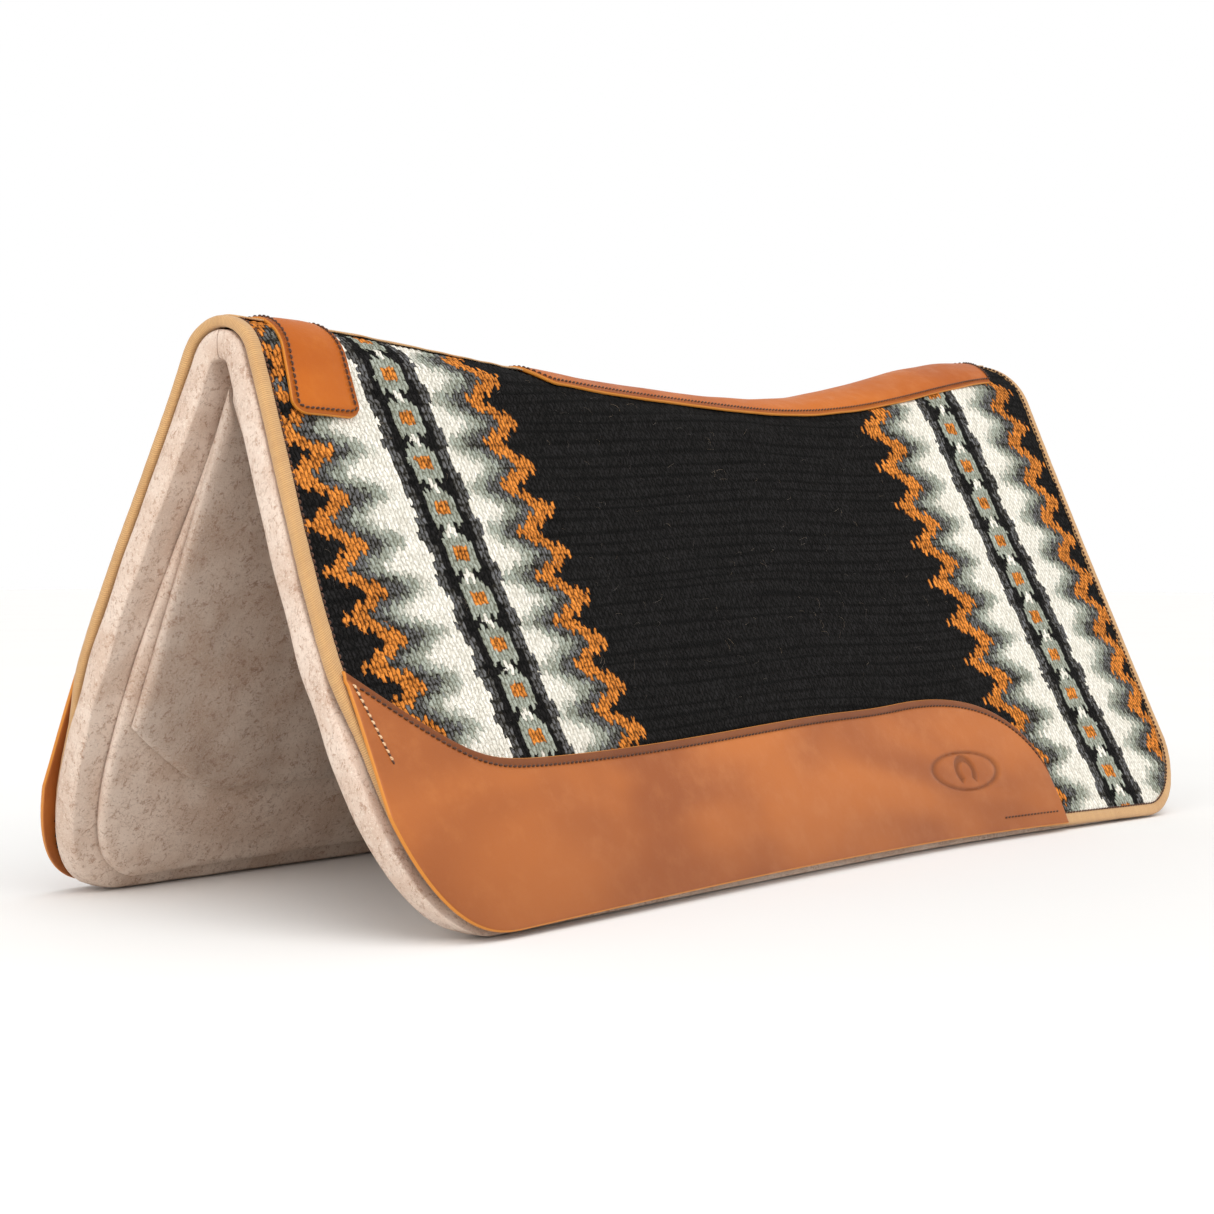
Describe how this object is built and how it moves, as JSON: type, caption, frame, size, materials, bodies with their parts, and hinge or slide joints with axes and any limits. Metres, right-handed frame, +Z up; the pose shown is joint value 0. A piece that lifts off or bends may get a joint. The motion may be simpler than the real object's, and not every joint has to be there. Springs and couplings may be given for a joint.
{
  "type": "saddle pad",
  "caption": "Contoured western saddle pad with a woven wool top over layered felt, leather wear panels on the flaps, and a leather patch and strip along the spine.",
  "frame": {"origin": "centre of the pad's bounding box in plan, on the surface that its felt hem stands on", "axes": "+X forward along the horse's spine to the withers, +Y to the horse's left, +Z up"},
  "size_m": [0.8312, 0.3578, 0.3468],
  "materials": {
    "woven_wool": "coarse flat-woven wool with zigzag bands and a chain of squares",
    "felt": "thick pressed wool felt, heathered beige grey",
    "felt_bar": "thick pressed wool felt, a little darker",
    "wear_leather": "smooth tan leather with a burnished margin",
    "ridge_leather": "smooth orange tan leather with a raw edge",
    "binding_tape": "ribbed tan binding tape",
    "dark_thread": "waxed brown thread",
    "pale_thread": "waxed pale thread"
  },
  "bodies": {
    "left_half": {"woven_top_left": "woven_wool", "felt_base_left": "felt", "felt_panel_left": "felt", "felt_bar_left": "felt_bar", "wear_leather_left": "wear_leather", "edge_binding_left": "binding_tape", "binding_thread_left": "dark_thread", "wear_upper_thread_left": "dark_thread", "wear_front_thread_left": "pale_thread", "wear_rear_thread_left": "dark_thread", "spine_tape": "binding_tape", "withers_patch": "ridge_leather", "withers_patch_thread": "dark_thread", "spine_strip": "ridge_leather", "spine_strip_thread": "dark_thread"},
    "right_half": {"woven_top_right": "woven_wool", "felt_base_right": "felt", "felt_panel_right": "felt", "felt_bar_right": "felt_bar", "wear_leather_right": "wear_leather", "edge_binding_right": "binding_tape", "binding_thread_right": "dark_thread", "wear_upper_thread_right": "dark_thread", "wear_front_thread_right": "pale_thread", "wear_rear_thread_right": "dark_thread"}
  },
  "joints": [
    {"name": "spine_fold", "type": "hinge", "parent": "left_half", "child": "right_half", "pos_m": [0, 0, 0.32786], "axis": [-0.9993, 0, 0.0375], "range_deg": [-6, 20], "deforming": ["spine_tape", "withers_patch", "withers_patch_thread", "spine_strip", "spine_strip_thread"]}
  ]
}
